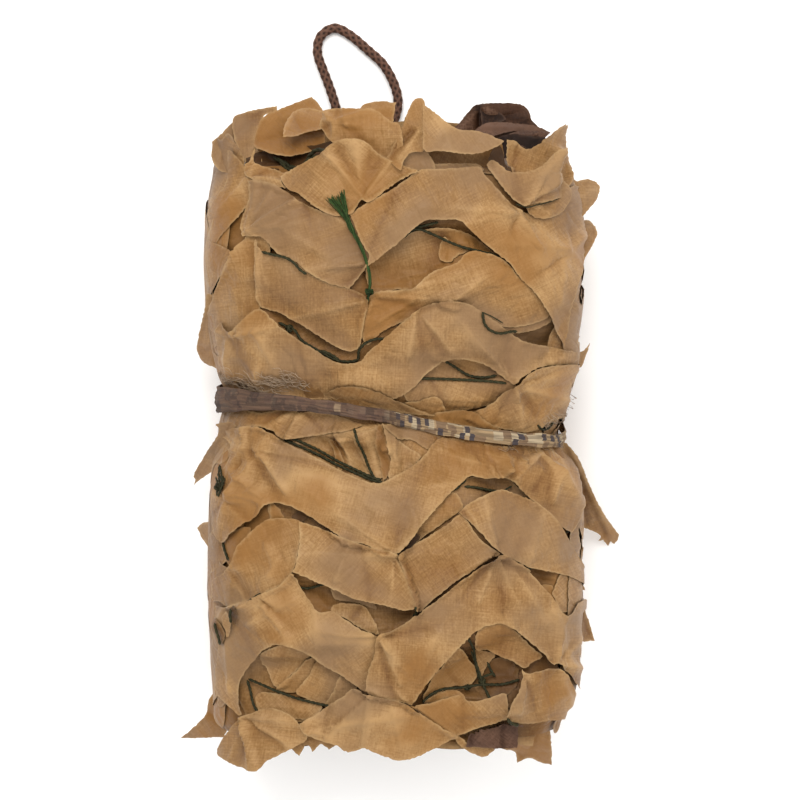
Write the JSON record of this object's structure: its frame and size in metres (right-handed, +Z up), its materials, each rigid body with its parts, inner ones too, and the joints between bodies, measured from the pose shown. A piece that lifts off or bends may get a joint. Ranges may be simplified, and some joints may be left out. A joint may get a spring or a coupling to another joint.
{
  "type": "camouflage netting",
  "caption": "Rolled bundle of desert-tan incised-leaf camouflage netting, tied at the waist with a printed cloth strap, with a braided cord loop at one end.",
  "frame": {"origin": "on the flat underside of the roll, beneath its middle, 20 mm short of the strap", "axes": "+X across the bundle, +Y along it towards the end with the cord loop, +Z up"},
  "size_m": [0.232, 0.3747, 0.1239],
  "materials": {
    "garnish": "satin woven polyester, incised",
    "brown_garnish": "satin woven polyester",
    "strap_cloth": "matt woven cloth with a pixel-block print",
    "braided_cord": "braided cord",
    "net_twine": "twisted twine"
  },
  "bodies": {
    "root": {"net_roll": "garnish", "strap": "strap_cloth", "cord_loop": "braided_cord", "twine_tuft": "net_twine", "brown_cloth_top": "brown_garnish", "brown_cloth_end": "brown_garnish", "leaf_rim_left": "garnish", "leaf_rim_back": "garnish", "leaf_rim_spike": "garnish", "leaf_rim_right": "garnish", "leaf_side_high": "garnish", "leaf_side_mid": "garnish", "flap_right_fold": "garnish", "flap_right_low": "garnish", "flap_left_mid": "garnish", "flap_left_low": "garnish", "flap_left_small": "garnish", "flap_floor_left": "garnish", "leaf_end_right": "garnish"}
  },
  "joints": []
}
